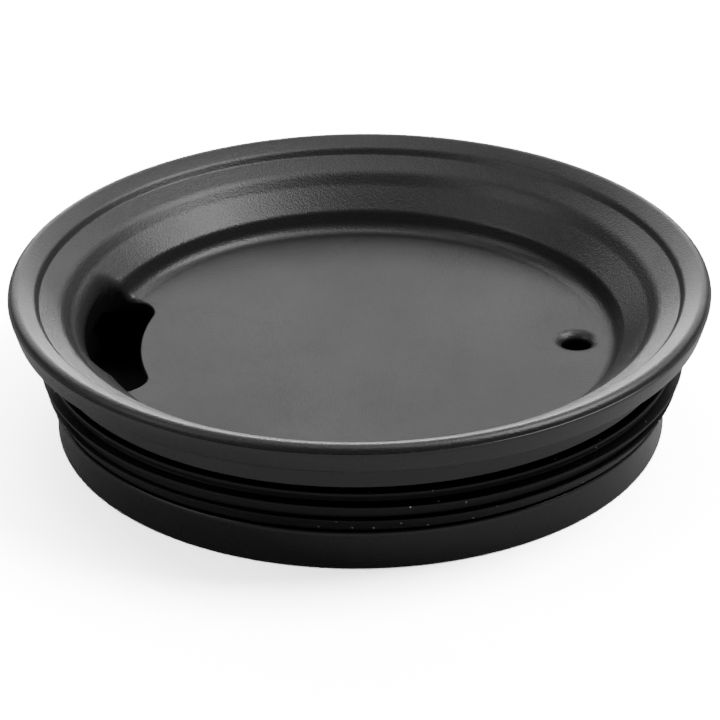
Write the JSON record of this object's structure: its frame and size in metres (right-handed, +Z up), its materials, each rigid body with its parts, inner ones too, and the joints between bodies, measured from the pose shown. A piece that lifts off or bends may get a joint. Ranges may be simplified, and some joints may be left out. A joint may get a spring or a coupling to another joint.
{
  "type": "tumbler lid",
  "caption": "Round press-in lid with a broad rounded lip, a dished top, a curved drink opening, a small vent hole and a finned seal around its plug.",
  "frame": {"origin": "centre of the skirt's bottom face, on the plane that the lid stands on", "axes": "+Z up along the rim's axis; the drink opening lies towards -X and the vent hole towards +X"},
  "size_m": [0.09, 0.09, 0.0199],
  "materials": {
    "body_plastic": "black moulded plastic, fine spark-eroded grain on top, smoother satin on the outside",
    "seal_rubber": "black silicone rubber, matt, picks up lint"
  },
  "bodies": {
    "root": {"lid_body": "body_plastic", "gasket": "seal_rubber"}
  },
  "joints": []
}
